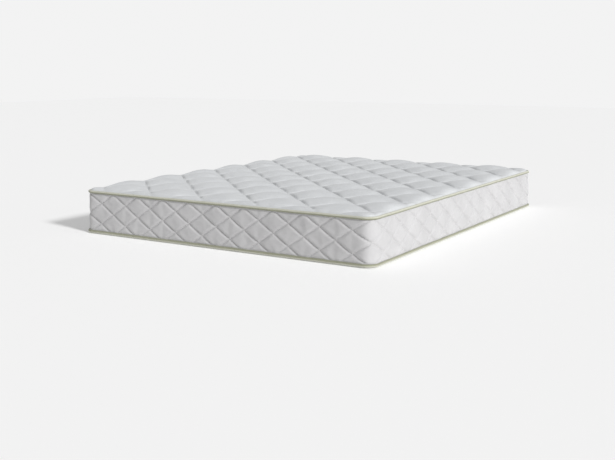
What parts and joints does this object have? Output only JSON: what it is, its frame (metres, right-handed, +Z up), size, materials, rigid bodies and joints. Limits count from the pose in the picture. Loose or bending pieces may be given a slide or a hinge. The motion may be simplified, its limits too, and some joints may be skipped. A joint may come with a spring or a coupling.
{
  "type": "memory foam mattress",
  "caption": "Rectangular foam mattress with a puffy diamond-quilted top, a quilted border and sage-green edge tapes.",
  "frame": {"origin": "middle of the underside, on the surface that the mattress lies on", "axes": "+X across the width, +Y along the length from the foot end to the head end, +Z up"},
  "size_m": [1.6, 2, 0.23],
  "materials": {
    "top_ticking": "quilted knit, soft sheen",
    "border_ticking": "quilted knit, soft sheen",
    "bottom_ticking": "quilted knit, matt",
    "edge_tape": "herringbone binding, sage green",
    "thread": "polyester sewing thread, semi-matt",
    "tape_thread": "polyester sewing thread, sage green",
    "fibre_fill": "white polyester wadding",
    "backing": "white non-woven",
    "sock": "white stretch knit",
    "memory_foam": "open-cell foam, cream",
    "transition_foam": "open-cell foam, pale blue",
    "core_foam": "open-cell foam, white",
    "rail_foam": "open-cell foam, firm, pale grey"
  },
  "bodies": {
    "root": {"base_foam_layer": "core_foam", "border_backing": "backing", "border_end_seam": "thread", "border_fibre_fill": "fibre_fill", "border_ticking": "border_ticking", "bottom_edge_tape": "edge_tape", "bottom_panel_backing": "backing", "bottom_panel_fibre_fill": "fibre_fill", "bottom_panel_ticking": "bottom_ticking", "bottom_tape_stitching": "tape_thread", "foot_edge_rail": "rail_foam", "head_edge_rail": "rail_foam", "inner_sock": "sock", "left_edge_rail": "rail_foam", "memory_foam_layer": "memory_foam", "right_edge_rail": "rail_foam", "support_core_foam": "core_foam", "top_edge_tape": "edge_tape", "top_panel_backing": "backing", "top_panel_fibre_fill": "fibre_fill", "top_panel_ticking": "top_ticking", "top_tape_stitching": "tape_thread", "transition_foam_layer": "transition_foam"}
  },
  "joints": []
}
